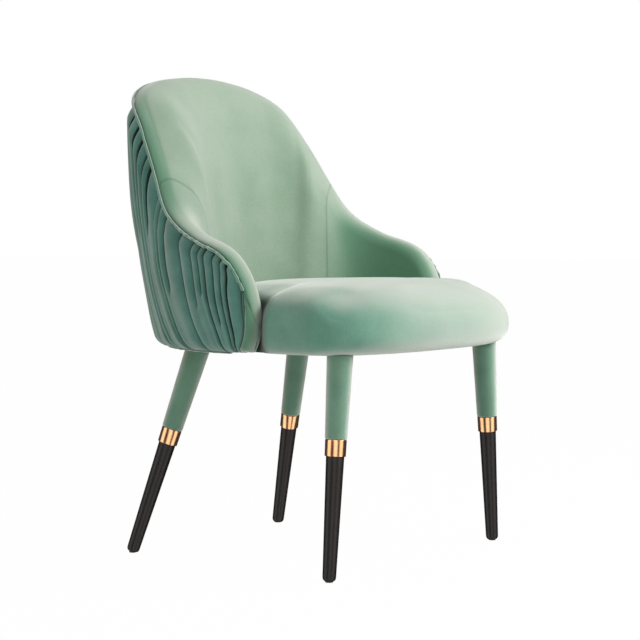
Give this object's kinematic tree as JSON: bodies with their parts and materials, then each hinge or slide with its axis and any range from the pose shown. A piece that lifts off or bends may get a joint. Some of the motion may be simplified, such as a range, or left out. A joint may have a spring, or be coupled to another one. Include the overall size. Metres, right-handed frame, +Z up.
{
  "type": "dining chair",
  "caption": "Upholstered dining chair with a wrapped tub back, low sloping arms, pleated outer cover, deep round-fronted seat and splayed legs with metal ferrules",
  "frame": {"origin": "centre of the bounding box on the floor", "axes": "+Z up; the sitter faces -Y; the sitter's left hand is on +X; the chair is the same on both sides of the plane X = 0"},
  "size_m": [0.6412, 0.5996, 0.852],
  "materials": {
    "beech_raw": "planed",
    "plywood": "bent plywood, unfinished",
    "lacquered_beech": "black satin lacquer",
    "velvet": "short-pile velvet",
    "foam": "open-cell foam",
    "wadding": "bonded fibre",
    "webbing": "elastic webbing",
    "lining": "non-woven lining",
    "brass": "polished, antique tone",
    "steel": "zinc plated",
    "glide": "matte"
  },
  "bodies": {
    "root": {"front_left_leg_wood": "beech_raw", "front_left_leg_sleeve": "velvet", "front_left_ferrule": "brass", "front_left_leg_tip": "lacquered_beech", "front_left_glide": "glide", "front_right_leg_wood": "beech_raw", "front_right_leg_sleeve": "velvet", "front_right_ferrule": "brass", "front_right_leg_tip": "lacquered_beech", "front_right_glide": "glide", "rear_left_leg_wood": "beech_raw", "rear_left_leg_sleeve": "velvet", "rear_left_ferrule": "brass", "rear_left_leg_tip": "lacquered_beech", "rear_left_glide": "glide", "rear_right_leg_wood": "beech_raw", "rear_right_leg_sleeve": "velvet", "rear_right_ferrule": "brass", "rear_right_leg_tip": "lacquered_beech", "rear_right_glide": "glide", "joining_studs": "steel", "leg_bolts": "steel", "tee_nuts": "steel", "leg_plates": "steel", "plate_screws": "steel", "back_bolts": "steel", "front_rail": "beech_raw", "rear_rail": "beech_raw", "left_rail": "beech_raw", "right_rail": "beech_raw", "corner_blocks": "beech_raw", "frame_dowels": "beech_raw", "back_base_rail": "beech_raw", "webbing_lengthwise": "webbing", "webbing_across": "webbing", "dust_cover": "lining", "seat_foam": "foam", "inner_foam": "foam", "outer_wadding": "wadding", "back_shell": "plywood", "seat_cover": "velvet", "inner_back_cover": "velvet", "left_arm_cover": "velvet", "right_arm_cover": "velvet", "outer_cover": "velvet", "edge_piping": "velvet", "hem_band": "velvet"}
  },
  "joints": []
}
